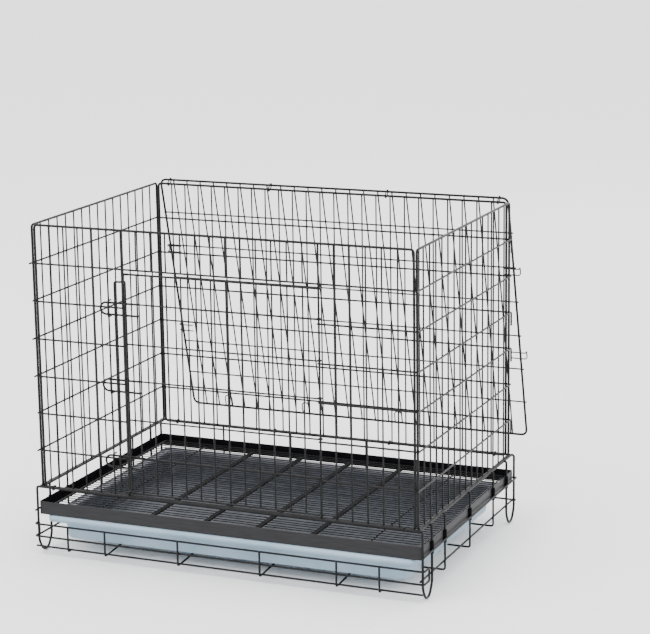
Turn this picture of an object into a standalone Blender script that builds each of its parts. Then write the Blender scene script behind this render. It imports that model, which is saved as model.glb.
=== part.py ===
"""Wire rabbit cage on a wire stand, with a hinged roof, a hinged front door,
three sliding door bolts, a lift-out mesh floor and a pull-out droppings tray.

Every length below is in millimetres in the cage's own frame: X runs along the
front from the left corner, Y runs from the front panel to the back panel, and
Z is zero at the bottom wire of the four wire panels.
"""
import math

import bmesh
import bpy

MM = 0.001

# Cage panels, and the middle of the cage front to back with its roof hanging open
WIDTH = 750.0
DEPTH = 500.0
HEIGHT = 504.0
COLUMNS = 25
SIDE_COLUMNS = 16
ROWS = 7
STAND_HEIGHT = 132.0
MIDDLE_Y = 312.85

# Wires
EDGE_WIRE = 4.6
INFILL_WIRE = 3.0
PANEL_THICK = 3.0
RAIL_WIRE = 3.0
LINK_WIRE = 2.0
GAP = 0.3

# Door in the front panel
DOOR_FIRST_COLUMN = 6
DOOR_LAST_COLUMN = 19
DOOR_ROWS = 6
DOOR_PLANE = -3.5
DOOR_LEFT = 184.0
DOOR_LEVELS = (8.0, 77.0, 149.0, 224.0, 293.0, 369.0, 424.0)
BOLT_LEVELS = (68.0, 214.0, 359.0)
BOLT_PLANE = -8.0
BOLT_GAUGE = 22.0
GUIDE_PLANE = -13.0

# Roof
ROOF_LENGTH = 521.5
ROOF_LEAN = 14.0
ROOF_HINGE_Y = 509.4
ROOF_HINGE_Z = 510.9

# Stand
STAND_SIDE = 15.6
STAND_FRONT = -5.0
STAND_BACK = 505.0
SIDE_PANEL_OUT = 5.5
RAIL_UPPER = -47.0
RAIL_LOWER = -93.0
SIDE_BARS = (109.0, 245.0, 379.0)
FOOT_WIDTH = 47.0
TRAY_REST_Z = -106.5
TRAY_REST_TIP = 32.0

# Band, floor and tray
BAND_TOP = -30.0
BAND_BOTTOM = -55.0
BAND_LEDGE = -44.0
FLOOR_Z = -42.0
FLOOR_BARS = (98.0, 212.0, 322.0, 428.0, 540.0, 650.0)
FLOOR_WIRES = 12
TRAY_TOP = -55.8
TRAY_LIP = -68.0
TRAY_BOTTOM = -104.0

# Drawer front
GUARD_PLANE = -11.0
GUARD_RAILS = (-116.0, -97.0, -73.0)
GUARD_BARS = (52.0, 131.0, 284.0, 451.0, 603.0, 686.0)
GUARD_RUNNERS = (140.0, 291.0, 445.0, 597.0)

FRONT_VIEW = (math.radians(90.0), 0.0, 0.0)
SIDE_VIEW = (math.radians(90.0), 0.0, math.radians(90.0))
FLAT_VIEW = (0.0, 0.0, 0.0)

for old in list(bpy.data.objects):
    bpy.data.objects.remove(old, do_unlink=True)

parts = bpy.data.collections.new("rabbit_cage")
bpy.context.scene.collection.children.link(parts)


def make_material(name, color, metallic, roughness):
    material = bpy.data.materials.new(name)
    material.use_nodes = True
    shader = material.node_tree.nodes["Principled BSDF"]
    shader.inputs["Base Color"].default_value = (*color, 1.0)
    shader.inputs["Metallic"].default_value = metallic
    shader.inputs["Roughness"].default_value = roughness
    return material


WIRE_COLOR = (0.020, 0.020, 0.022)
BAND_COLOR = (0.055, 0.055, 0.060)
TRAY_COLOR = (0.360, 0.430, 0.500)


def empty(name, location, rotation, parent):
    holder = bpy.data.objects.new(name, None)
    holder.location = [value * MM for value in location]
    holder.rotation_euler = rotation
    holder.parent = parent
    parts.objects.link(holder)
    return holder


def place(name, data, parent, location, rotation, color, metallic=0.3):
    obj = bpy.data.objects.new(name, data)
    obj.location = [value * MM for value in location]
    obj.rotation_euler = rotation
    obj.parent = parent
    data.materials.append(make_material(name + "_coat", color, metallic, 0.45))
    parts.objects.link(obj)
    return obj


def weld(obj):
    modifier = obj.modifiers.new("Weld", "WELD")
    modifier.merge_threshold = 0.00002


def plate(name, loops, thickness, parent, location, rotation, color=WIRE_COLOR):
    """A flat piece: the first loop is the outline, the others are holes."""
    curve = bpy.data.curves.new(name, "CURVE")
    curve.dimensions = "2D"
    curve.fill_mode = "BOTH"
    curve.extrude = thickness * MM / 2.0
    for loop in loops:
        spline = curve.splines.new("POLY")
        spline.points.add(len(loop) - 1)
        for point, corner in zip(spline.points, loop):
            point.co = (corner[0] * MM, corner[1] * MM, 0.0, 1.0)
        spline.use_cyclic_u = True
    obj = place(name, curve, parent, location, rotation, color)
    weld(obj)
    return obj


def wire(name, path, gauge, parent, location=(0, 0, 0), closed=False):
    """A round wire that follows a path of straight pieces."""
    curve = bpy.data.curves.new(name, "CURVE")
    curve.dimensions = "3D"
    curve.fill_mode = "FULL"
    curve.bevel_depth = gauge * MM / 2.0
    curve.bevel_resolution = 2
    curve.use_fill_caps = not closed
    spline = curve.splines.new("POLY")
    spline.points.add(len(path) - 1)
    for point, corner in zip(spline.points, path):
        point.co = (corner[0] * MM, corner[1] * MM, corner[2] * MM, 1.0)
    spline.use_cyclic_u = closed
    spline.use_smooth = True
    obj = place(name, curve, parent, location, FLAT_VIEW, WIRE_COLOR)
    weld(obj)
    return obj


def spread(start, end, steps):
    return [start + (end - start) * index / steps for index in range(steps + 1)]


def bars(positions, edge, inner):
    """Pairs of a wire's place and half its width, with wider first and last wires."""
    result = [(position, inner / 2.0) for position in positions]
    result[0] = (positions[0], edge / 2.0)
    result[-1] = (positions[-1], edge / 2.0)
    return result


def cell(left, right, low, high):
    x0 = left[0] + left[1]
    x1 = right[0] - right[1]
    y0 = low[0] + low[1]
    y1 = high[0] - high[1]
    return [(x0, y0), (x1, y0), (x1, y1), (x0, y1)]


def cells(columns, rows):
    loops = []
    for left, right in zip(columns, columns[1:]):
        for low, high in zip(rows, rows[1:]):
            loops.append(cell(left, right, low, high))
    return loops


def rectangle(columns, rows):
    x0 = columns[0][0] - columns[0][1]
    x1 = columns[-1][0] + columns[-1][1]
    y0 = rows[0][0] - rows[0][1]
    y1 = rows[-1][0] + rows[-1][1]
    return [(x0, y0), (x1, y0), (x1, y1), (x0, y1)]


def arc(center, radius, start, end, steps):
    points = []
    for angle in spread(math.radians(start), math.radians(end), steps):
        points.append((center[0] + radius * math.cos(angle), center[1] + radius * math.sin(angle)))
    return points


def stadium(first, second, radius):
    """A closed loop round two parallel wires seen end on."""
    heading = math.degrees(math.atan2(second[1] - first[1], second[0] - first[0]))
    path = arc(second, radius, heading - 90.0, heading + 90.0, 4)
    path += arc(first, radius, heading + 90.0, heading + 270.0, 4)
    return path


def link_ring(name, x, first, second, radius, parent):
    path = [(x, y, z) for y, z in stadium(first, second, radius)]
    return wire(name, path, LINK_WIRE, parent, closed=True)


# The cage's frame and the axes of its moving pieces
cage = empty("cage_frame", (-WIDTH / 2, -MIDDLE_Y, STAND_HEIGHT), FLAT_VIEW, None)
hinge_x = WIDTH * DOOR_LAST_COLUMN / COLUMNS
door_axis = empty("door_axis", (hinge_x, 0, 0), FLAT_VIEW, cage)
roof_turn = (math.radians(ROOF_LEAN - 90.0), 0.0, 0.0)
roof_axis = empty("roof_axis", (0, ROOF_HINGE_Y, ROOF_HINGE_Z), roof_turn, cage)

panel_columns = bars(spread(0.0, WIDTH, COLUMNS), EDGE_WIRE, INFILL_WIRE)
side_columns = bars(spread(0.0, DEPTH + 1.0, SIDE_COLUMNS), EDGE_WIRE, INFILL_WIRE)
panel_rows = bars(spread(0.0, HEIGHT, ROWS), EDGE_WIRE, INFILL_WIRE)


def front_piece(name, columns, rows):
    loops = [rectangle(columns, rows)] + cells(columns, rows)
    plate(name, loops, PANEL_THICK, cage, (0, 0, 0), FRONT_VIEW)


def build_front_panel():
    """One welded grid, in four straight-edged pieces round the doorway."""
    first = DOOR_FIRST_COLUMN
    last = DOOR_LAST_COLUMN
    front_piece("front_panel_left", panel_columns[:first + 1], panel_rows)
    front_piece("front_panel_right", panel_columns[last:], panel_rows)
    inner = panel_columns[first + 1:last]
    half = INFILL_WIRE / 2.0
    start = (panel_columns[first][0] + 2.0 * half + GAP, half)
    end = (panel_columns[last][0] - 2.0 * half - GAP, half)
    front_piece("front_panel_top", [start] + inner + [end], panel_rows[DOOR_ROWS:])
    x0 = start[0] - half
    x1 = end[0] + half
    z = EDGE_WIRE / 2.0
    sill = [(x0, -z), (x1, -z), (x1, z), (x0, z)]
    plate("front_panel_sill", [sill], PANEL_THICK, cage, (0, 0, 0), FRONT_VIEW)


def build_back_panel():
    loops = [rectangle(panel_columns, panel_rows)] + cells(panel_columns, panel_rows)
    plate("back_panel", loops, PANEL_THICK, cage, (0, DEPTH, 0), FRONT_VIEW)


def side_outline():
    """The side panel's outline, with wire tips in front and hooks behind."""
    reach = INFILL_WIRE / 2.0
    front = side_columns[0][0] - side_columns[0][1]
    back = side_columns[-1][0] + side_columns[-1][1]
    low = panel_rows[0][0] - panel_rows[0][1]
    high = panel_rows[-1][0] + panel_rows[-1][1]
    levels = [panel_rows[index][0] for index in (1, 3, 4, 6)]
    outline = [(front, low), (back, low)]
    for level in levels:
        outline += [(back, level - reach), (back + 3.4, level - reach)]
        outline += [(back + 3.4, level - 27.0), (back + 6.0, level - 27.0)]
        outline += [(back + 6.0, level + reach), (back, level + reach)]
    outline += [(back, high), (front, high)]
    for level in reversed(levels):
        outline += [(front, level + reach), (front - 7.0, level + reach)]
        outline += [(front - 7.0, level - reach), (front, level - reach)]
    return outline


def build_side_panels():
    loops = [side_outline()] + cells(side_columns, panel_rows)
    plate("left_panel", loops, PANEL_THICK, cage, (-SIDE_PANEL_OUT, 0, 0), SIDE_VIEW)
    plate("right_panel", loops, PANEL_THICK, cage, (WIDTH + SIDE_PANEL_OUT, 0, 0), SIDE_VIEW)


def build_door():
    inner = [panel_columns[index][0] for index in range(DOOR_FIRST_COLUMN + 1, DOOR_LAST_COLUMN)]
    columns = bars([DOOR_LEFT] + inner, EDGE_WIRE, INFILL_WIRE)
    columns[-1] = (inner[-1], INFILL_WIRE / 2.0)
    rows = bars(DOOR_LEVELS, EDGE_WIRE - 0.8, INFILL_WIRE)
    columns = [(place_x - hinge_x, half) for place_x, half in columns]
    left = columns[0][0] - columns[0][1]
    right = columns[-1][0] + columns[-1][1]
    tip = -2.2 - LINK_WIRE - GAP
    outline = [(left, rows[0][0] - rows[0][1])]
    outline.append((right, rows[0][0] - rows[0][1]))
    for level, half in rows[1:]:
        reach = INFILL_WIRE / 2.0
        outline += [(right, level - reach), (tip, level - reach)]
        outline += [(tip, level + reach), (right, level + reach)]
    outline.append((right, rows[-1][0] + rows[-1][1]))
    outline.append((left, rows[-1][0] + rows[-1][1]))
    loops = [outline] + cells(columns, rows)
    plate("door_panel", loops, PANEL_THICK - 0.6, door_axis, (0, DOOR_PLANE, 0), FRONT_VIEW)
    for index, level in enumerate(DOOR_LEVELS[1:]):
        path = [(x, y, level) for x, y in arc((0, 0), 3.3, 0.0, 330.0, 11)]
        wire(f"door_loop_{index + 1}", path, LINK_WIRE, door_axis, closed=True)


def build_latch_guide():
    behind = DOOR_PLANE - PANEL_THICK / 2.0 - GAP
    x0 = 171.0 - hinge_x
    x1 = 193.0 - hinge_x
    root = DOOR_LEFT - hinge_x
    path = [(root, behind, 411.0), (root, GUIDE_PLANE + 1, 411.0), (root - 1, GUIDE_PLANE, 411.0)]
    path += [(x0 + 2, GUIDE_PLANE, 411.0), (x0, GUIDE_PLANE, 409.0), (x0, GUIDE_PLANE, 22.0)]
    for x, z in arc((x0 + 11.0, 22.0), 11.0, 180.0, 360.0, 6)[1:]:
        path.append((x, GUIDE_PLANE, z))
    path += [(x1, GUIDE_PLANE, 399.0), (x1, GUIDE_PLANE + 1, 400.0), (x1, behind, 400.0)]
    wire("latch_guide", path, 2.4, door_axis)


def build_bolts():
    for index, level in enumerate(BOLT_LEVELS):
        half = BOLT_GAUGE / 2.0
        path = [(213.0 - hinge_x, BOLT_PLANE, level + half)]
        for x, z in arc((149.0 - hinge_x, level), half, 90.0, 270.0, 8):
            path.append((x, BOLT_PLANE, z))
        path.append((213.0 - hinge_x, BOLT_PLANE, level - half))
        wire(f"door_bolt_{index + 1}", path, 3.0, door_axis)
        rise = half + 4.0
        staple = [(156.0, -1.5 - GAP, level + rise), (156.0, GUIDE_PLANE, level + rise)]
        staple += [(156.0, GUIDE_PLANE, level - rise), (156.0, -1.5 - GAP, level - rise)]
        wire(f"bolt_staple_{index + 1}", staple, 2.4, cage)


def build_roof():
    columns = panel_columns
    rows = bars(spread(0.0, ROOF_LENGTH, ROWS), EDGE_WIRE, INFILL_WIRE)
    left = columns[0][0] - columns[0][1]
    right = columns[-1][0] + columns[-1][1]
    high = rows[0][0] - rows[0][1]
    low = rows[-1][0] + rows[-1][1]
    outline = [(left, high), (left, low - 8.0), (left + 3.0, low - 3.0), (left + 8.0, low)]
    outline += [(right - 8.0, low), (right - 3.0, low - 3.0), (right, low - 8.0), (right, high)]
    loops = [outline] + cells(columns, rows)
    plate("roof_panel", loops, PANEL_THICK, roof_axis, (0, 0, 0), FLAT_VIEW)
    for index, x in enumerate((23.0, 249.0, 501.0, 733.0)):
        hinge = (ROOF_HINGE_Y, ROOF_HINGE_Z)
        link_ring(f"roof_hinge_link_{index + 1}", x, (DEPTH, HEIGHT), hinge, 3.9, cage)
    for index, x in enumerate((82.0, 262.0, 471.0)):
        path = [(x - 8.0, ROOF_LENGTH + 1.0), (x - 8.0, ROOF_LENGTH - 16.0)]
        path += arc((x, ROOF_LENGTH - 16.0), 8.0, 180.0, 360.0, 6)[1:]
        path.append((x + 8.0, ROOF_LENGTH + 1.0))
        path = [(px, py, 3.1) for px, py in path]
        wire(f"roof_front_clip_{index + 1}", path, 2.2, roof_axis)


def build_roof_side_clips():
    number = 0
    for side in (-1.0, 1.0):
        edge = 0.0 if side < 0 else WIDTH
        for reach in (152.0, 336.0):
            number += 1
            out = edge + side * 9.6
            path = [(edge - side * 12.0, reach, 3.0), (edge + side * 7.0, reach, 3.0)]
            path += [(out, reach, 4.5), (out, reach, 12.0), (out, reach + 13.0, 12.0)]
            wire(f"roof_side_clip_{number}", path, 2.2, roof_axis)


def foot_outline(center, mirror):
    """The outside of a foot loop from its inner leg round to its outer leg."""
    half = FOOT_WIDTH / 2.0 + 2.0
    path = [(half, RAIL_LOWER - 1.5), (half, -111.0), (half - 6.0, -122.0)]
    path += [(half - 14.0, -130.0), (5.0, -STAND_HEIGHT), (-5.0, -STAND_HEIGHT)]
    path += [(14.0 - half, -130.0), (6.0 - half, -122.0), (-half, -111.0)]
    return [(center + mirror * x, z) for x, z in path]


def foot_hole(center):
    half = FOOT_WIDTH / 2.0 - 2.0
    path = [(half, RAIL_LOWER - 1.5), (half, -110.0), (half - 5.0, -119.5)]
    path += [(half - 12.0, -126.5), (4.0, -128.3), (-4.0, -128.3)]
    path += [(12.0 - half, -126.5), (5.0 - half, -119.5), (-half, -110.0)]
    path.append((-half, RAIL_LOWER - 1.5))
    return [(center + x, z) for x, z in path]


def build_stand_sides():
    front_foot = STAND_FRONT + FOOT_WIDTH / 2.0
    back_foot = STAND_BACK - FOOT_WIDTH / 2.0
    outline = list(reversed(foot_outline(front_foot, 1.0)))
    for bar in SIDE_BARS:
        outline += [(bar - 1.5, RAIL_LOWER - 1.5), (bar - 1.5, -108.0)]
        outline += [(bar + 1.5, -108.0), (bar + 1.5, RAIL_LOWER - 1.5)]
    outline += foot_outline(back_foot, -1.0)
    outline += [(STAND_BACK + 2.0, -5.0), (STAND_BACK, 0.0), (STAND_BACK - 5.0, 2.0)]
    outline += [(STAND_FRONT + 5.0, 2.0), (STAND_FRONT, 0.0), (STAND_FRONT - 2.0, -5.0)]
    legs = (STAND_FRONT, STAND_FRONT + FOOT_WIDTH)
    behind = (STAND_BACK - FOOT_WIDTH, STAND_BACK)
    columns = [(y, 2.0) for y in legs] + [(y, 1.5) for y in SIDE_BARS]
    columns += [(y, 2.0) for y in behind]
    rows = [(RAIL_LOWER, 1.5), (RAIL_UPPER, 1.5), (0.0, 2.0)]
    loops = [outline, foot_hole(front_foot), foot_hole(back_foot)] + cells(columns, rows)
    plate("stand_left", loops, RAIL_WIRE, cage, (-STAND_SIDE, 0, 0), SIDE_VIEW)
    plate("stand_right", loops, RAIL_WIRE, cage, (WIDTH + STAND_SIDE, 0, 0), SIDE_VIEW)
    for side, name in ((-1.0, "left"), (1.0, "right")):
        edge = 0.0 if side < 0 else WIDTH
        start = edge + side * (STAND_SIDE - RAIL_WIRE / 2.0 - GAP)
        end = edge - side * TRAY_REST_TIP
        for index, y in enumerate(SIDE_BARS):
            path = [(start, y, TRAY_REST_Z), (end, y, TRAY_REST_Z)]
            wire(f"tray_rest_{name}_{index + 1}", path, RAIL_WIRE, cage)


def build_stand_ends():
    inner = STAND_SIDE - RAIL_WIRE / 2.0 - GAP
    ends = (-inner, WIDTH + inner)
    columns = [(ends[0] + 1.5, 1.5), (ends[1] - 1.5, 1.5)]
    bar_places = GUARD_BARS[1:5]
    columns = columns[:1] + [(x, 1.5) for x in bar_places] + columns[1:]
    rows = [(RAIL_LOWER, 1.5), (RAIL_UPPER, 1.5), (0.0, 2.0)]
    loops = [rectangle(columns, rows)] + cells(columns, rows)
    plate("stand_back", loops, RAIL_WIRE, cage, (0, STAND_BACK + 0.5, 0), FRONT_VIEW)
    rail = [(ends[0], -2.0), (ends[1], -2.0), (ends[1], 2.0), (ends[0], 2.0)]
    plate("stand_front_rail", [rail], RAIL_WIRE, cage, (0, STAND_FRONT - 0.5, 0), FRONT_VIEW)
    for index, x in enumerate((26.5, 250.0, 503.0, 727.0)):
        link_ring(f"back_hook_{index + 1}", x, (DEPTH, 0.0), (STAND_BACK + 0.5, 0.0), 3.9, cage)


def build_band():
    wall = STAND_SIDE - RAIL_WIRE / 2.0 - GAP
    front = STAND_FRONT + 2.2
    length = STAND_BACK - 2.2 - front
    profile = [(0.0, BAND_BOTTOM), (1.0, BAND_BOTTOM), (1.0, BAND_LEDGE - 1.0)]
    profile += [(wall + 9.0, BAND_LEDGE - 1.0), (wall + 9.0, BAND_LEDGE)]
    profile += [(1.0, BAND_LEDGE), (1.0, BAND_TOP), (0.0, BAND_TOP)]
    middle = front + length / 2.0
    turned = [(-x, z) for x, z in profile]
    plate("band_left", [profile], length, cage, (-wall, middle, 0), FRONT_VIEW, BAND_COLOR)
    plate("band_right", [turned], length, cage, (WIDTH + wall, middle, 0), FRONT_VIEW, BAND_COLOR)
    inner = wall - 1.0 - GAP
    strip = [(-inner, BAND_BOTTOM), (WIDTH + inner, BAND_BOTTOM)]
    cut = 9.0 + wall - inner
    strip = [(-inner, BAND_BOTTOM), (WIDTH + inner, BAND_BOTTOM)]
    strip += [(WIDTH + inner, BAND_LEDGE - 1.0 - GAP), (WIDTH - cut, BAND_LEDGE - 1.0 - GAP)]
    strip += [(WIDTH - cut, BAND_LEDGE + GAP), (WIDTH + inner, BAND_LEDGE + GAP)]
    strip += [(WIDTH + inner, BAND_TOP), (-inner, BAND_TOP), (-inner, BAND_LEDGE + GAP)]
    strip += [(cut, BAND_LEDGE + GAP), (cut, BAND_LEDGE - 1.0 - GAP)]
    strip.append((-inner, BAND_LEDGE - 1.0 - GAP))
    plate("band_front", [strip], 1.0, cage, (0, front + 0.5, 0), FRONT_VIEW, BAND_COLOR)
    plate("band_back", [strip], 1.0, cage, (0, front + length - 0.5, 0), FRONT_VIEW, BAND_COLOR)


def build_floor():
    columns = [(2.0, 1.2)] + [(x, 1.2) for x in FLOOR_BARS] + [(WIDTH - 2.0, 1.2)]
    columns[3] = (FLOOR_BARS[2], 2.0)
    rows = [(y, 0.9) for y in spread(6.0, DEPTH - 6.0, FLOOR_WIRES + 1)]
    loops = [rectangle(columns, rows)] + cells(columns, rows)
    plate("floor_grid", loops, 2.4, cage, (0, 0, FLOOR_Z), FLAT_VIEW)


def build_tray():
    """Folded from one sheet: floor, sloping wall, flange, turned-down lip."""
    rings = ((30.0, TRAY_BOTTOM), (18.0, TRAY_TOP - 2.0), (16.0, TRAY_TOP), (1.5, TRAY_TOP))
    rings += ((0.0, TRAY_TOP - 1.5), (0.0, TRAY_LIP))
    x0, x1, y0, y1 = 2.0, WIDTH - 2.0, -1.5, DEPTH - 4.0
    mesh = bpy.data.meshes.new("tray")
    shape = bmesh.new()
    bmesh.ops.create_grid(shape, x_segments=1, y_segments=1, size=MM)
    corners = ((-1, -1), (1, -1), (-1, 1), (1, 1))
    middle = ((x0 + x1) / 2.0, (y0 + y1) / 2.0)
    for step, (inset, z) in enumerate(rings):
        if step:
            edges = [edge for edge in shape.edges if edge.is_boundary]
            made = bmesh.ops.extrude_edge_only(shape, edges=edges)["geom"]
            corner_set = [item for item in made if isinstance(item, bmesh.types.BMVert)]
        else:
            corner_set = list(shape.verts)
        for corner in corner_set:
            right = corner.co.x > (0.0 if step == 0 else middle[0] * MM)
            rear = corner.co.y > (0.0 if step == 0 else middle[1] * MM)
            corner.co.x = (x1 - inset if right else x0 + inset) * MM
            corner.co.y = (y1 - inset if rear else y0 + inset) * MM
            corner.co.z = z * MM
    bmesh.ops.recalc_face_normals(shape, faces=shape.faces)
    shape.to_mesh(mesh)
    shape.free()
    tray = place("tray", mesh, cage, (0, 0, 0), FLAT_VIEW, TRAY_COLOR, 0.6)
    skin = tray.modifiers.new("Solidify", "SOLIDIFY")
    skin.thickness = 0.0012
    skin.offset = 0.0
    skin.use_even_offset = True


def build_guard():
    out = STAND_SIDE + 5.4
    rows = [(z, 1.5) for z in GUARD_RAILS]
    floor_end = 18.0
    inside = [(x, 1.5) for x in GUARD_BARS]
    left = GUARD_BARS[0] - 1.5
    right = GUARD_BARS[-1] + 1.5
    outline = [(-floor_end, rows[0][0] - 1.5), (WIDTH + floor_end, rows[0][0] - 1.5)]
    outline += [(WIDTH + floor_end, rows[0][0] + 1.5), (right, rows[0][0] + 1.5)]
    outline += [(right, rows[1][0] - 1.5), (WIDTH + out, rows[1][0] - 1.5)]
    outline += [(WIDTH + out, rows[1][0] + 1.5), (right, rows[1][0] + 1.5)]
    outline += [(right, rows[2][0] - 1.5), (WIDTH + out, rows[2][0] - 1.5)]
    outline += [(WIDTH + out, rows[2][0] + 1.5), (-out, rows[2][0] + 1.5)]
    outline += [(-out, rows[2][0] - 1.5), (left, rows[2][0] - 1.5)]
    outline += [(left, rows[1][0] + 1.5), (-out, rows[1][0] + 1.5)]
    outline += [(-out, rows[1][0] - 1.5), (left, rows[1][0] - 1.5)]
    outline += [(left, rows[0][0] + 1.5), (-floor_end, rows[0][0] + 1.5)]
    loops = [outline] + cells(inside, rows)
    plate("drawer_front", loops, RAIL_WIRE, cage, (0, GUARD_PLANE, 0), FRONT_VIEW)
    start = GUARD_PLANE + RAIL_WIRE / 2.0 + GAP
    for side, name in ((-1.0, "left"), (1.0, "right")):
        x = -out + 1.5 if side < 0 else WIDTH + out - 1.5
        path = [(x, start, GUARD_RAILS[2]), (x, start + 22.0, GUARD_RAILS[2])]
        path += [(x, start + 26.0, GUARD_RAILS[2] - 4.0), (x, start + 26.0, GUARD_RAILS[1] + 4.0)]
        path += [(x, start + 22.0, GUARD_RAILS[1]), (x, start, GUARD_RAILS[1])]
        wire(f"drawer_return_{name}", path, RAIL_WIRE, cage)
    for index, x in enumerate(GUARD_RUNNERS):
        path = [(x, start, -110.0), (x, 44.0, -110.0), (x, 52.0, TRAY_REST_Z)]
        path.append((x, 62.0, TRAY_REST_Z))
        wire(f"drawer_runner_{index + 1}", path, RAIL_WIRE, cage)


build_front_panel()
build_back_panel()
build_side_panels()
build_door()
build_latch_guide()
build_bolts()
build_roof()
build_roof_side_clips()
build_stand_sides()
build_stand_ends()
build_band()
build_floor()
build_tray()
build_guard()
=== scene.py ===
"""The looks of the wire rabbit cage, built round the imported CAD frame.

Lengths are in millimetres in the cage's own frame, as in the part: X along the
front from the left corner, Y from the front panel to the back panel, Z zero at
the bottom wire of the panels. CAGE_ORIGIN is where that corner is in the world.
"""
import math
import random

import bmesh
import bpy
from mathutils import Matrix, Vector


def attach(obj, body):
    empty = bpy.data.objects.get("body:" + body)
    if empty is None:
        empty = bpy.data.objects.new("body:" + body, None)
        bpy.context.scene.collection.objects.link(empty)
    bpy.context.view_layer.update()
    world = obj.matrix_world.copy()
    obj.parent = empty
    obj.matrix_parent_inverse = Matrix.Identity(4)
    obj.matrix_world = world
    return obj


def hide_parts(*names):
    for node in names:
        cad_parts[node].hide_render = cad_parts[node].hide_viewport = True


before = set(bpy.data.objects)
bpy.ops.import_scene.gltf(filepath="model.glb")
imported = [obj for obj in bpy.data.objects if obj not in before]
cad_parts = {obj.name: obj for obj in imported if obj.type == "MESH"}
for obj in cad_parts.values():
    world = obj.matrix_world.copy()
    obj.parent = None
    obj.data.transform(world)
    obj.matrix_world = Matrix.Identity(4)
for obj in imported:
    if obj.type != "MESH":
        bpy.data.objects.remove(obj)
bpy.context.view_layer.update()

MM = 0.001
WIDTH = 750.0
DEPTH = 500.0
HEIGHT = 504.0
COLUMNS = 25
SIDE_COLUMNS = 16
ROWS = 7
CAGE_ORIGIN = Vector((-WIDTH / 2 * MM, -0.31285, 0.132))

# Wire radii
EDGE = 2.3
RAIL = 1.9
INFILL = 1.5
CROSS = 1.75
FINE = 0.9
CROSSING = 0.88  # a welded crossing's spacing, as a share of the two radii

DOOR_LEFT = 184.0
HINGE_X = WIDTH * 19 / COLUMNS
OPENING_X = WIDTH * 6 / COLUMNS
DOOR_LEVELS = (8.0, 77.0, 149.0, 224.0, 293.0, 369.0, 424.0)
DOOR_Y = -3.3
BOLT_LEVELS = (68.0, 214.0, 359.0)
BOLT_Y = -8.0
GUIDE_Y = -13.0

ROOF_LENGTH = 521.5
ROOF_LEAN = math.radians(14.0)
ROOF_HINGE = (509.4, 510.9)

STAND_X = 15.6
STAND_FRONT = -5.5
STAND_BACK = 505.5
RAIL_UPPER = -47.0
RAIL_LOWER = -93.0
SIDE_BARS = (109.0, 245.0, 379.0)
BACK_BARS = (131.0, 284.0, 451.0, 603.0)
GUARD_BARS = (52.0, 131.0, 284.0, 451.0, 603.0, 686.0)
GUARD_Y = -11.0
TRAY_REST_Z = -107.6
FLOOR_Z = -42.0

chance = random.Random(20)


# ---------------------------------------------------------------- materials

def new_material(name):
    material = bpy.data.materials.new(name)
    material.use_nodes = True
    return material, material.node_tree, material.node_tree.nodes["Principled BSDF"]


def add(tree, kind, **values):
    node = tree.nodes.new(kind)
    for key, value in values.items():
        setattr(node, key, value)
    return node


def noise(tree, place, scale, detail=3.0):
    node = add(tree, "ShaderNodeTexNoise")
    node.inputs["Scale"].default_value = scale
    node.inputs["Detail"].default_value = detail
    tree.links.new(place, node.inputs["Vector"])
    return node.outputs["Fac"]


def remap(tree, value, low, high, to_low, to_high):
    node = add(tree, "ShaderNodeMapRange")
    node.inputs["From Min"].default_value = low
    node.inputs["From Max"].default_value = high
    node.inputs["To Min"].default_value = to_low
    node.inputs["To Max"].default_value = to_high
    tree.links.new(value, node.inputs["Value"])
    return node.outputs["Result"]


def blend_colors(tree, factor, first, second):
    node = add(tree, "ShaderNodeMix", data_type="RGBA")
    tree.links.new(factor, node.inputs["Factor"])
    for index, value in ((6, first), (7, second)):
        if isinstance(value, tuple):
            node.inputs[index].default_value = (*value, 1.0)
        else:
            tree.links.new(value, node.inputs[index])
    return node.outputs[2]


def bump(tree, shader, height, strength, distance):
    node = add(tree, "ShaderNodeBump")
    node.inputs["Strength"].default_value = strength
    node.inputs["Distance"].default_value = distance
    tree.links.new(height, node.inputs["Height"])
    tree.links.new(node.outputs["Normal"], shader.inputs["Normal"])


def object_place(tree):
    return add(tree, "ShaderNodeTexCoord").outputs["Object"]


def make_wire_coat(name, dark, light, low_gloss, high_gloss):
    """Baked powder coat on wire: near black, slightly uneven in tone and gloss."""
    material, tree, shader = new_material(name)
    place = object_place(tree)
    tone = remap(tree, noise(tree, place, 55.0), 0.35, 0.65, 0.0, 1.0)
    tree.links.new(blend_colors(tree, tone, dark, light), shader.inputs["Base Color"])
    patches = noise(tree, place, 160.0)
    tree.links.new(remap(tree, patches, 0.3, 0.7, low_gloss, high_gloss), shader.inputs["Roughness"])
    bump(tree, shader, noise(tree, place, 900.0, 4.0), 0.35, 0.00025)
    shader.inputs["Specular IOR Level"].default_value = 0.17
    return material


def make_band_paint(name, dark, light, specular):
    """Paint on thin steel strip, with faint rolling streaks."""
    material, tree, shader = new_material(name)
    place = object_place(tree)
    stretch = add(tree, "ShaderNodeMapping")
    stretch.inputs["Scale"].default_value = (1.0, 1.0, 14.0)
    tree.links.new(place, stretch.inputs["Vector"])
    streaks = noise(tree, stretch.outputs["Vector"], 22.0, 5.0)
    tone = remap(tree, streaks, 0.3, 0.7, 0.0, 1.0)
    color = blend_colors(tree, tone, dark, light)
    tree.links.new(color, shader.inputs["Base Color"])
    tree.links.new(remap(tree, streaks, 0.3, 0.7, 0.36, 0.5), shader.inputs["Roughness"])
    bump(tree, shader, noise(tree, place, 600.0, 4.0), 0.25, 0.0002)
    shader.inputs["Specular IOR Level"].default_value = specular
    return material


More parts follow.
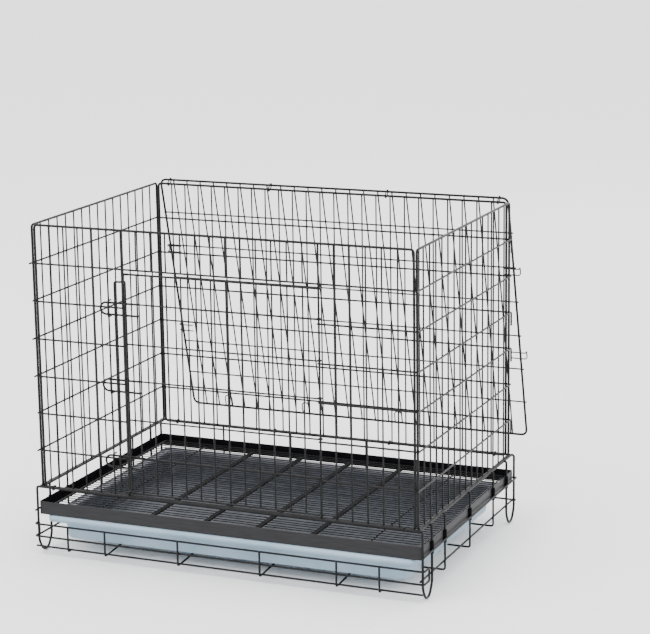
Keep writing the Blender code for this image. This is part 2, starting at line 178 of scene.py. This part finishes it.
def make_tray_paint(name, shaded_inside):
    """Blue-grey coated steel sheet; with shaded_inside it carries painted shade: darker grey high on the
    inner wall, dark slate below the tray's rim for the shadow under the band and the mesh floor.
    """
    material, tree, shader = new_material(name)
    place = object_place(tree)
    cloud = remap(tree, noise(tree, place, 9.0, 4.0), 0.3, 0.7, 0.0, 1.0)
    color = blend_colors(tree, cloud, (0.205, 0.295, 0.375), (0.300, 0.400, 0.485))
    if shaded_inside:
        # painted shade: the upper inner wall and flange are greyer and darker than the blue outside
        grey = blend_colors(tree, cloud, (0.130, 0.135, 0.158), (0.175, 0.180, 0.205))
        grain = remap(tree, noise(tree, place, 90.0, 5.0), 0.35, 0.65, 0.0, 1.0)
        slate = blend_colors(tree, grain, (0.036, 0.042, 0.053), (0.066, 0.074, 0.090))
        split = add(tree, "ShaderNodeSeparateXYZ")
        tree.links.new(place, split.inputs["Vector"])
        # painted shade: the inside darkens to slate from 57.5 to 64 mm below the panels' bottom wire
        depth = remap(tree, split.outputs["Z"], -0.0575, -0.0640, 0.0, 1.0)
        color = blend_colors(tree, depth, grey, slate)
    tree.links.new(color, shader.inputs["Base Color"])
    tree.links.new(remap(tree, cloud, 0.0, 1.0, 0.32, 0.46), shader.inputs["Roughness"])
    bump(tree, shader, noise(tree, place, 420.0, 3.0), 0.2, 0.0002)
    shader.inputs["Metallic"].default_value = 0.2
    return material


WIRE = make_wire_coat("wire_coat", (0.0016, 0.0016, 0.0020), (0.0046, 0.0046, 0.0054), 0.32, 0.48)
THICK_WIRE = make_wire_coat("rail_coat", (0.0018, 0.0018, 0.0022), (0.0050, 0.0050, 0.0058), 0.34, 0.50)
BAND = make_band_paint("band_paint", (0.0085, 0.0085, 0.0098), (0.0165, 0.0165, 0.0185), 0.2)
# Darker copy of the band paint: on the band's inner face it is painted shade; it is also the plain black
# of the floor strips and of the band tabs that stand in for wire shadows.
BLACK_PAINT_AND_SHADE = make_band_paint("black_paint_and_painted_shade", (0.0018, 0.0018, 0.0022), (0.0045, 0.0045, 0.0055), 0.01)
TRAY = make_tray_paint("tray_paint", False)
TRAY_SHADED_INSIDE = make_tray_paint("tray_inside_painted_shade", True)


# ---------------------------------------------------------------- shapes

def spread(start, end, steps):
    return [start + (end - start) * index / steps for index in range(steps + 1)]


def fillet(points, radius, closed=False, steps=5):
    """The path with each corner rounded to that radius."""
    points = [Vector(point) for point in points]
    count = len(points)
    path = []
    for index, corner in enumerate(points):
        if not closed and index in (0, count - 1):
            path.append(corner)
            continue
        before = points[index - 1] - corner
        after = points[(index + 1) % count] - corner
        reach = min(radius, before.length * 0.49, after.length * 0.49)
        angle = before.angle(after)
        if angle > math.radians(175.0):
            path.append(corner)
            continue
        start = corner + before.normalized() * reach
        end = corner + after.normalized() * reach
        for t in spread(0.0, 1.0, steps):
            path.append(start * (1 - t) ** 2 + corner * 2 * t * (1 - t) + end * t ** 2)
    return path


def straight(start, end, sway=0.3, steps=6):
    """A drawn wire, never quite straight between its ends."""
    start = Vector(start)
    end = Vector(end)
    along = (end - start).normalized()
    across = along.orthogonal().normalized()
    other = along.cross(across)
    bow = chance.uniform(-sway, sway)
    lean = chance.uniform(-sway, sway)
    path = []
    for t in spread(0.0, 1.0, steps):
        swing = math.sin(math.pi * t)
        path.append(start.lerp(end, t) + across * bow * swing + other * lean * swing)
    return path


def arc_points(center, radius, start, end, steps):
    points = []
    for angle in spread(math.radians(start), math.radians(end), steps):
        points.append((center[0] + radius * math.cos(angle), center[1] + radius * math.sin(angle)))
    return points


def stadium(first, second, radius, steps=8):
    heading = math.degrees(math.atan2(second[1] - first[1], second[0] - first[0]))
    path = arc_points(second, radius, heading - 90.0, heading + 90.0, steps)
    path += arc_points(first, radius, heading + 90.0, heading + 270.0, steps)
    return path


def roof_place(x, reach, out):
    """A point on the hanging roof: along the hinge, down from it, and out from its plane."""
    y = ROOF_HINGE[0] + reach * math.sin(ROOF_LEAN) + out * math.cos(ROOF_LEAN)
    z = ROOF_HINGE[1] - reach * math.cos(ROOF_LEAN) + out * math.sin(ROOF_LEAN)
    return (x, y, z)


def finish_piece(obj, body, nodes, slot, *materials):
    for material in materials:
        obj.data.materials.append(material)
    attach(obj, body)
    if nodes:
        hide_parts(*nodes)
    return obj


def wires(name, runs, body, nodes=(), material=None):
    """One piece of welded wires. A run is (path, radius, closed)."""
    curve = bpy.data.curves.new(name, "CURVE")
    curve.dimensions = "3D"
    curve.fill_mode = "FULL"
    curve.bevel_depth = MM
    curve.bevel_resolution = 4
    curve.use_fill_caps = True
    for path, radius, closed in runs:
        spline = curve.splines.new("POLY")
        spline.points.add(len(path) - 1)
        for point, corner in zip(spline.points, path):
            point.co = (corner[0] * MM, corner[1] * MM, corner[2] * MM, 1.0)
            point.radius = radius
        spline.use_cyclic_u = closed
        spline.use_smooth = True
    obj = bpy.data.objects.new(name, curve)
    obj.location = CAGE_ORIGIN
    bpy.context.scene.collection.objects.link(obj)
    bpy.context.view_layer.update()
    return finish_piece(obj, body, nodes, "wire", material or WIRE)


def mesh_piece(name, shape, body, nodes, slot, materials, thickness=0.0):
    bmesh.ops.recalc_face_normals(shape, faces=shape.faces)
    mesh = bpy.data.meshes.new(name)
    shape.to_mesh(mesh)
    shape.free()
    mesh.shade_smooth()
    mesh.set_sharp_from_angle(angle=math.radians(38.0))
    obj = bpy.data.objects.new(name, mesh)
    obj.location = CAGE_ORIGIN
    bpy.context.scene.collection.objects.link(obj)
    bpy.context.view_layer.update()
    if thickness:
        skin = obj.modifiers.new("Solidify", "SOLIDIFY")
        skin.thickness = thickness * MM
        skin.offset = 0.0
        skin.use_even_offset = True
        skin.material_offset = len(materials) - 1
    return finish_piece(obj, body, nodes, slot, *materials)


def rounded_ring(shape, box, inset, radius, z, steps=6):
    """A ring of vertices round a rounded rectangle."""
    x0, x1, y0, y1 = box
    x0 += inset
    y0 += inset
    x1 -= inset
    y1 -= inset
    corners = ((x1 - radius, y0 + radius, -90.0), (x1 - radius, y1 - radius, 0.0))
    corners += ((x0 + radius, y1 - radius, 90.0), (x0 + radius, y0 + radius, 180.0))
    ring = []
    for x, y, start in corners:
        for px, py in arc_points((x, y), radius, start, start + 90.0, steps):
            ring.append(shape.verts.new((px * MM, py * MM, z * MM)))
    return ring


def bridge(shape, first, second):
    count = len(first)
    faces = []
    for index in range(count):
        after = (index + 1) % count
        faces.append(shape.faces.new((first[index], first[after], second[after], second[index])))
    return faces


# ---------------------------------------------------------------- panels

def panel_frame(width, height, place, radius=EDGE):
    corners = [(0, 0), (width, 0), (width, height), (0, height)]
    return (fillet([place(a, b, 0.0) for a, b in corners], 7.0, True), radius, True)


def build_front_panel():
    def place(x, z, out):
        return (x, -out, z)

    layer = (INFILL + CROSS) * CROSSING
    runs = [panel_frame(WIDTH, HEIGHT, place)]
    opening_top = HEIGHT * 6 / ROWS
    for index in range(1, COLUMNS):
        x = WIDTH * index / COLUMNS
        low = opening_top if DOOR_LEFT < x < HINGE_X else 0.0
        radius = INFILL * 1.25 if x in (OPENING_X, HINGE_X) else INFILL
        runs.append((straight(place(x, low, 0), place(x, HEIGHT, 0)), radius, False))
    for index in range(1, ROWS):
        z = HEIGHT * index / ROWS
        ends = ((-5.0, 755.0),) if index == 6 else ((-5.0, OPENING_X + 2.0), (HINGE_X - 2.0, 755.0))
        for start, end in ends:
            runs.append((straight(place(start, z, layer), place(end, z, layer)), CROSS, False))
    nodes = ["front_panel_" + side for side in ("left", "right", "top", "sill")]
    wires("front_panel_wires", runs, "cage", nodes)


def build_back_panel():
    layer = (INFILL + CROSS) * CROSSING
    runs = [panel_frame(WIDTH, HEIGHT, lambda x, z, out: (x, DEPTH + out, z))]
    for index in range(1, COLUMNS):
        x = WIDTH * index / COLUMNS
        runs.append((straight((x, DEPTH, 0), (x, DEPTH, HEIGHT)), INFILL, False))
    for index in range(1, ROWS):
        z = HEIGHT * index / ROWS
        y = DEPTH + layer
        runs.append((straight((-5.0, y, z), (755.0, y, z)), CROSS, False))
    wires("back_panel_wires", runs, "cage", ["back_panel"])


def build_side_panel(name, x, side):
    layer = (INFILL + CROSS) * CROSSING * side
    depth = DEPTH + 1.0
    runs = [panel_frame(depth, HEIGHT, lambda y, z, out: (x, y, z))]
    for index in range(1, SIDE_COLUMNS):
        y = depth * index / SIDE_COLUMNS
        runs.append((straight((x, y, 0), (x, y, HEIGHT)), INFILL, False))
    for index in range(1, ROWS):
        z = HEIGHT * index / ROWS
        if index in (1, 3, 4, 6):
            path = straight((x + layer, -8.5, z), (x + layer, depth, z))[:-1]
            tail = [(x + layer, depth + 6.0, z), (x + layer, depth + 6.0, z - 27.0)]
            path += fillet([(x + layer, depth - 4.0, z)] + tail, 4.0)
        else:
            path = straight((x + layer, -2.0, z), (x + layer, depth + 2.0, z))
        runs.append((path, CROSS, False))
    wires(name + "_wires", runs, "cage", [name])


def build_roof():
    layer = 2.0 * INFILL * CROSSING
    corners = [(0, 0), (WIDTH, 0), (WIDTH, ROOF_LENGTH), (0, ROOF_LENGTH)]
    frame_path = fillet([roof_place(x, reach, 0) for x, reach in corners], 14.0, True, 8)
    runs = [(frame_path, EDGE, True)]
    for index in range(1, COLUMNS):
        x = WIDTH * index / COLUMNS
        runs.append((straight(roof_place(x, 0, 0), roof_place(x, ROOF_LENGTH, 0)), INFILL, False))
    for index in range(1, ROWS):
        reach = ROOF_LENGTH * index / ROWS
        ends = (roof_place(-4.0, reach, layer), roof_place(WIDTH + 4.0, reach, layer))
        runs.append((straight(*ends), INFILL, False))
    wires("roof_wires", runs, "roof", ["roof_panel"])
    for index, x in enumerate((23.0, 249.0, 501.0, 733.0)):
        path = [(x, y, z) for y, z in stadium((DEPTH, HEIGHT), ROOF_HINGE, 3.6)]
        name = f"roof_hinge_link_{index + 1}"
        wires(name + "_wire", [(path, 1.2, True)], "cage", [name])
    for index, x in enumerate((82.0, 262.0, 471.0)):
        top = ROOF_LENGTH - 16.0
        path = [roof_place(x - 8.0, ROOF_LENGTH + 1.5, 3.0)]
        path += [roof_place(px, py, 3.0) for px, py in arc_points((x, top), 8.0, 180.0, 360.0, 10)]
        path.append(roof_place(x + 8.0, ROOF_LENGTH + 1.5, 3.0))
        name = f"roof_front_clip_{index + 1}"
        wires(name + "_wire", [(path, 1.25, False)], "roof", [name])


def build_roof_side_clips():
    number = 0
    for side in (-1.0, 1.0):
        edge = 0.0 if side < 0 else WIDTH
        for reach in (152.0, 336.0):
            number += 1
            out = edge + side * 9.6
            root = edge - side * 22.0
            corners = [roof_place(root, reach, 3.1), roof_place(out, reach, 3.1)]
            corners += [roof_place(out, reach, 11.0), roof_place(out, reach + 13.0, 11.0)]
            corners += [roof_place(out, reach + 13.0, 3.1), roof_place(root, reach + 13.0, 3.1)]
            name = f"roof_side_clip_{number}"
            wires(name + "_wire", [(fillet(corners, 2.0), 1.25, False)], "roof", [name])


# ---------------------------------------------------------------- door

def build_door():
    runs = []
    for index, level in enumerate(DOOR_LEVELS):
        edge_run = index in (0, len(DOOR_LEVELS) - 1)
        radius = RAIL if edge_run else INFILL
        turn = [(HINGE_X + x, y, level) for x, y in arc_points((0, 0), 3.3, -90.0, 200.0, 16)]
        start = straight((DOOR_LEFT + 8.0, DOOR_Y, level), (HINGE_X - 6.0, DOOR_Y, level))
        if not edge_run:
            start[0] = Vector((DOOR_LEFT - 2.0, DOOR_Y, level))
        runs.append((start + turn, radius, False))
    low = DOOR_LEVELS[0]
    high = DOOR_LEVELS[-1]
    corners = [(DOOR_LEFT + 10.0, DOOR_Y, low), (DOOR_LEFT, DOOR_Y, low)]
    corners += [(DOOR_LEFT, DOOR_Y, high), (DOOR_LEFT + 10.0, DOOR_Y, high)]
    runs.append((fillet(corners, 7.0), EDGE, False))
    behind = DOOR_Y + 2.0 * INFILL * CROSSING
    for index in range(7, 19):
        x = WIDTH * index / COLUMNS
        runs.append((straight((x, behind, low - 1.0), (x, behind, high + 1.0)), INFILL, False))
    nodes = ["door_panel"] + [f"door_loop_{index}" for index in range(1, 7)]
    wires("door_wires", runs, "door", nodes)


def build_guide():
    """The hairpin on the door's free edge, which the bolts slide under."""
    left = 171.0
    right = 193.0
    back = DOOR_Y - 2.2
    corners = [(DOOR_LEFT, back, 411.0), (DOOR_LEFT, GUIDE_Y, 411.0), (left, GUIDE_Y, 411.0)]
    path = fillet(corners + [(left, GUIDE_Y, 200.0)], 3.5)[:-1]
    path += straight((left, GUIDE_Y, 400.0), (left, GUIDE_Y, 24.0))
    path += [(x, GUIDE_Y, z) for x, z in arc_points((left + 11.0, 22.0), 11.0, 180.0, 360.0, 10)]
    path += straight((right, GUIDE_Y, 24.0), (right, GUIDE_Y, 402.0))
    top = [(right, GUIDE_Y, 402.0), (right, GUIDE_Y, 413.0), (right - 7.0, GUIDE_Y, 413.0)]
    path += fillet(top + [(DOOR_LEFT + 1.0, back, 408.0)], 4.0)[1:]
    wires("latch_guide_wire", [(path, 1.9, False)], "door", ["latch_guide"])


def build_bolts():
    bodies = ("bolt_low", "bolt_middle", "bolt_high")
    half = 11.0
    tip = 214.0
    for index, level in enumerate(BOLT_LEVELS):
        upper = [(tip, BOLT_Y + 2.4, level + half), (tip, BOLT_Y, level + half)]
        upper.append((190.0, BOLT_Y, level + half))
        path = fillet(upper, 2.2)
        turn = arc_points((149.0, level), half, 90.0, 270.0, 12)
        path += [(x, BOLT_Y, z) for x, z in turn]
        lower = [(190.0, BOLT_Y, level - half), (tip, BOLT_Y, level - half)]
        lower.append((tip, BOLT_Y + 2.4, level - half))
        path += fillet(lower, 2.2)
        name = f"door_bolt_{index + 1}"
        wires(name + "_wire", [(path, 2.0, False)], bodies[index], [name])
        rise = half + 4.0
        corners = [(156.0, -1.0, level + rise), (156.0, GUIDE_Y, level + rise)]
        corners += [(156.0, GUIDE_Y, level - rise), (156.0, -1.0, level - rise)]
        name = f"bolt_staple_{index + 1}"
        wires(name + "_wire", [(fillet(corners, 3.0), 1.5, False)], "cage", [name])


# ---------------------------------------------------------------- stand

def build_stand():
    """The wire stand, with the feet bent from the same wires as its corners."""
    side_rail = STAND_X - 5.4
    for name, y, nodes in (("front", STAND_FRONT, ["stand_front_rail"]), ("back", STAND_BACK, [])):
        corners = [(-STAND_X, y, -9.0), (-STAND_X, y, 0.0)]
        corners += [(WIDTH + STAND_X, y, 0.0), (WIDTH + STAND_X, y, -9.0)]
        wires(f"stand_{name}_rail", [(fillet(corners, 5.0), EDGE, False)], "cage", nodes, THICK_WIRE)
    for name, edge, side in (("left", 0.0, -1.0), ("right", WIDTH, 1.0)):
        x = edge + side * STAND_X
        rail_x = edge + side * side_rail
        rail = straight((rail_x, STAND_FRONT, 0.0), (rail_x, STAND_BACK, 0.0))
        runs = [(rail, EDGE, False)]
        for outer, inner in ((STAND_FRONT, STAND_FRONT + 47.0), (STAND_BACK, STAND_BACK - 47.0)):
            turn = 14.0 if inner > outer else -14.0
            loop = [(x, outer, -8.0), (x, outer, -108.0), (x, outer + turn, -129.7)]
            loop += [(x, inner - turn, -129.7), (x, inner, -108.0), (x, inner, -1.0), (rail_x, inner, 0)]
            runs.append((fillet(loop, 9.0), EDGE, False))
        x_upper = x + side * (EDGE + RAIL) * CROSSING
        x_lower = x - side * (EDGE + RAIL) * CROSSING
        for across, z in ((x_upper, RAIL_UPPER), (x_lower, RAIL_LOWER)):
            ends = ((across, STAND_FRONT - 3.0, z), (across, STAND_BACK + 3.0, z))
            runs.append((straight(*ends), RAIL, False))
        wires(f"stand_{name}_wires", runs, "cage", [f"stand_{name}"], THICK_WIRE)
        for index, y in enumerate(SIDE_BARS):
            node = f"tray_rest_{name}_{index + 1}"
            path = [(rail_x, y, 0.0), (x, y, -1.5), (x, y, TRAY_REST_Z), (x - side * 47.6, y, TRAY_REST_Z)]
            wires(node + "_wire", [(fillet(path, 5.0), RAIL, False)], "cage", [node], THICK_WIRE)
    y = STAND_BACK + (EDGE + RAIL) * CROSSING
    runs = []
    for z in (RAIL_UPPER, RAIL_LOWER):
        runs.append((straight((-STAND_X - 3.0, y, z), (WIDTH + STAND_X + 3.0, y, z)), RAIL, False))
    for x in BACK_BARS:
        runs.append((straight((x, STAND_BACK, 0.0), (x, STAND_BACK, RAIL_LOWER - 4.0)), RAIL, False))
    wires("stand_back_wires", runs, "cage", ["stand_back"], THICK_WIRE)


def build_hooks():
    for index, x in enumerate((26.5, 250.0, 503.0, 727.0)):
        path = [(x, y, z) for y, z in stadium((DEPTH, 0.0), (STAND_BACK, 0.0), 3.7)]
        name = f"back_hook_{index + 1}"
        wires(name + "_wire", [(path, 1.2, True)], "cage", [name])
    for index, x in enumerate((20.0, 730.0)):
        path = [(x, y, z) for y, z in stadium((STAND_FRONT, 0.0), (0.0, 0.0), 3.7)]
        wires(f"front_hook_{index + 1}_wire", [(path, 1.2, True)], "cage")


def build_band():
    """Thin steel strip bent round the stand, with a ledge inside for the mesh floor."""
    outside = ((0.0, -55.0), (0.0, -30.4), (0.3, -30.0))
    inside = ((0.8, -30.0), (1.1, -30.4), (1.1, -43.4), (1.7, -44.0), (14.0, -44.0))
    inside += ((14.0, -45.0), (1.1, -45.2), (1.1, -55.0))
    box = (-13.8, WIDTH + 13.8, -2.8, DEPTH + 2.8)
    shape = bmesh.new()
    rings = []
    for inset, z in outside + inside:
        rings.append(rounded_ring(shape, box, inset, max(3.5 - inset, 0.8), z))
    for index, ring in enumerate(rings):
        faces = bridge(shape, ring, rings[(index + 1) % len(rings)])
        for face in faces:
            # inner faces take the darker copy: painted shade on the inside of the band
            face.material_index = 0 if index < len(outside) else 1
    nodes = ["band_" + side for side in ("front", "back", "left", "right")]
    mesh_piece("band_strip", shape, "cage", nodes, "band", (BAND, BLACK_PAINT_AND_SHADE))


def build_band_shadow_tabs():
    """Dark folded tabs round the stand's upright wires at band height: painted shade, standing in for each
    wire's shadow on the band.
    """
    shape = bmesh.new()
    for x, side in ((-STAND_X, -1.0), (WIDTH + STAND_X, 1.0)):
        for y in (STAND_FRONT + 47.0, *SIDE_BARS, STAND_BACK - 47.0):
            profile = [(1.4, 5.4), (1.0, 3.6)]
            profile += arc_points((0.0, 0.0), 3.1, 90.0, 270.0, 8) + [(1.0, -3.6), (1.4, -5.4)]
            rows = []
            for z in (-54.0, -53.0, -32.0, -31.0):
                row = []
                for px, py in profile:
                    place = ((x - side * px) * MM, (y + py) * MM, z * MM)
                    row.append(shape.verts.new(place))
                rows.append(row)
            for low, high in zip(rows, rows[1:]):
                for index in range(len(low) - 1):
                    shape.faces.new((low[index], low[index + 1], high[index + 1], high[index]))
    mesh_piece("band_shadow_tabs", shape, "cage", (), "band", (BLACK_PAINT_AND_SHADE,), 0.9)


# ---------------------------------------------------------------- floor, tray, drawer

def build_floor():
    runs = []
    corners = [(2.0, 6.0, FLOOR_Z), (WIDTH - 2.0, 6.0, FLOOR_Z)]
    corners += [(WIDTH - 2.0, DEPTH - 6.0, FLOOR_Z), (2.0, DEPTH - 6.0, FLOOR_Z)]
    runs.append((fillet(corners, 6.0, True), 1.3, True))
    fine_wires = 40
    for index in range(1, fine_wires):
        y = 6.0 + (DEPTH - 12.0) * index / fine_wires
        runs.append((straight((1.5, y, FLOOR_Z), (WIDTH - 1.5, y, FLOOR_Z), 0.8, 12), FINE, False))
    for x in (98.0, 650.0):
        runs.append((straight((x, 13.0, FLOOR_Z - 2.1), (x, DEPTH - 13.0, FLOOR_Z - 2.1)), 1.5, False))
    wires("floor_mesh", runs, "floor", ["floor_grid"])
    shape = bmesh.new()
    for x in (212.0, 322.0, 428.0, 540.0):
        made = bmesh.ops.create_cube(shape, size=1.0)["verts"]
        center = Vector((x, DEPTH / 2.0, FLOOR_Z - 0.4)) * MM
        for vertex in made:
            vertex.co.x *= 11.0 * MM
            vertex.co.y *= (DEPTH - 26.0) * MM
            vertex.co.z *= 3.0 * MM
            vertex.co += center
    bmesh.ops.bevel(shape, geom=list(shape.edges), offset=0.8 * MM, segments=3, affect="EDGES")
    mesh_piece("floor_strips", shape, "floor", (), "wire", (BLACK_PAINT_AND_SHADE,))


def build_tray():
    """Pressed from one sheet, with sloping walls and a rim rolled outwards and under."""
    profile = ((26.5, 18.0, -104.9), (24.6, 18.6, -104.3), (23.8, 19.0, -102.6), (18.6, 21.0, -60.0))
    profile += ((17.8, 21.5, -57.2), (16.0, 22.0, -56.0), (4.0, 12.0, -55.8), (1.6, 10.0, -56.4))
    profile += ((0.4, 9.0, -58.2), (0.0, 8.6, -62.0), (0.4, 8.6, -66.6), (1.8, 8.0, -68.7))
    profile += ((4.0, 7.0, -68.9), (5.2, 6.0, -67.2))
    box = (2.0, WIDTH - 2.0, -1.5, DEPTH - 4.0)
    shape = bmesh.new()
    rings = [rounded_ring(shape, box, inset, radius, z) for inset, radius, z in profile]
    rim_start = 7
    # Faces below the rim take the shaded copy, painted shade inside the tray; the rim keeps the plain
    # blue-grey paint.
    for index, (first, second) in enumerate(zip(rings, rings[1:])):
        for face in bridge(shape, first, second):
            face.material_index = 0 if index < rim_start else 1
    shape.faces.new(rings[0])
    mesh_piece("tray_sheet", shape, "drawer", ["tray"], "tray", (TRAY_SHADED_INSIDE, TRAY), 0.9)


def build_drawer_front():
    """The wire guard in front of the tray, with the legs that carry the tray."""
    upper = -73.0
    lower = -97.0
    left = -STAND_X - EDGE - RAIL - 0.3
    right = WIDTH - left
    corners = [(left, GUARD_Y, upper), (left, 4.5, upper), (left, 4.5, lower)]
    corners += [(left, GUARD_Y, lower), (right, GUARD_Y, lower), (right, 15.0, lower)]
    corners += [(right, 15.0, upper), (right, GUARD_Y, upper)]
    runs = [(fillet(corners, 5.0, True), RAIL, True)]
    runs.append((straight((-18.0, GUARD_Y, -116.0), (WIDTH + 18.0, GUARD_Y, -116.0)), RAIL, False))
    front = GUARD_Y - 2.0 * RAIL * CROSSING
    for x in (GUARD_BARS[0], GUARD_BARS[-1]):
        path = [(x, front, upper + 2.0), (x, front, -119.0), (x, front + 7.0, -119.6)]
        runs.append((fillet(path, 2.5), RAIL, False))
    nodes = ["drawer_front", "drawer_return_left", "drawer_return_right"]
    wires("drawer_front_wires", runs, "drawer", nodes, THICK_WIRE)
    for index, x in enumerate(GUARD_BARS[1:-1]):
        corners = [(x, front, upper + 2.0), (x, front, -118.6), (x, front + 12.0, -119.0)]
        corners.append((x + 3.0, 44.0, -112.5))
        name = f"drawer_runner_{index + 1}"
        wires(name + "_wire", [(fillet(corners, 3.0), RAIL, False)], "drawer", [name], THICK_WIRE)


# ---------------------------------------------------------------- studio

def build_studio():
    floor_mesh = bpy.data.meshes.new("studio_floor")
    shape = bmesh.new()
    bmesh.ops.create_grid(shape, x_segments=1, y_segments=1, size=14.0)
    shape.to_mesh(floor_mesh)
    shape.free()
    floor = bpy.data.objects.new("studio_floor", floor_mesh)
    floor.location.z = -0.0006
    bpy.context.scene.collection.objects.link(floor)
    material, _, shader = new_material("studio_paper")
    shader.inputs["Base Color"].default_value = (0.92, 0.92, 0.92, 1.0)
    shader.inputs["Roughness"].default_value = 0.9
    floor_mesh.materials.append(material)

    world = bpy.data.worlds.new("studio")
    world.use_nodes = True
    sky = world.node_tree.nodes["Background"]
    sky.inputs["Color"].default_value = (1.0, 1.0, 1.0, 1.0)
    sky.inputs["Strength"].default_value = 2.4
    bpy.context.scene.world = world

    for name, place, size, power in (
        ("key", (-1.8, -2.6, 3.4), 2.2, 90.0),
        ("fill", (3.2, -1.2, 2.2), 2.4, 45.0),
        ("back", (0.6, 3.4, 3.0), 2.6, 50.0),
    ):
        lamp = bpy.data.lights.new(name, "AREA")
        lamp.size = size
        lamp.energy = power
        light = bpy.data.objects.new(name, lamp)
        light.location = place
        aim = Vector((0.0, 0.0, 0.3)) - Vector(place)
        light.rotation_euler = aim.to_track_quat("-Z", "Y").to_euler()
        bpy.context.scene.collection.objects.link(light)


def build_camera():
    lens = bpy.data.cameras.new("camera")
    lens.sensor_width = 36.0
    lens.lens = 121.68
    lens.clip_end = 60.0
    camera = bpy.data.objects.new("camera", lens)
    turn = Matrix.Rotation(math.radians(23.279), 4, "Z")
    tilt = Matrix.Rotation(math.radians(90.0 - 12.739), 4, "X")
    roll = Matrix.Rotation(math.radians(-0.866), 4, "Z")
    place = Matrix.Translation((1.6967, -3.77455, 1.35713))
    camera.matrix_world = place @ turn @ tilt @ roll
    bpy.context.scene.collection.objects.link(camera)
    bpy.context.scene.camera = camera


build_front_panel()
build_back_panel()
build_side_panel("left_panel", -5.5, -1.0)
build_side_panel("right_panel", WIDTH + 5.5, 1.0)
build_roof()
build_roof_side_clips()
build_door()
build_guide()
build_bolts()
build_stand()
build_hooks()
build_band()
build_band_shadow_tabs()
build_floor()
build_tray()
build_drawer_front()
build_studio()
build_camera()
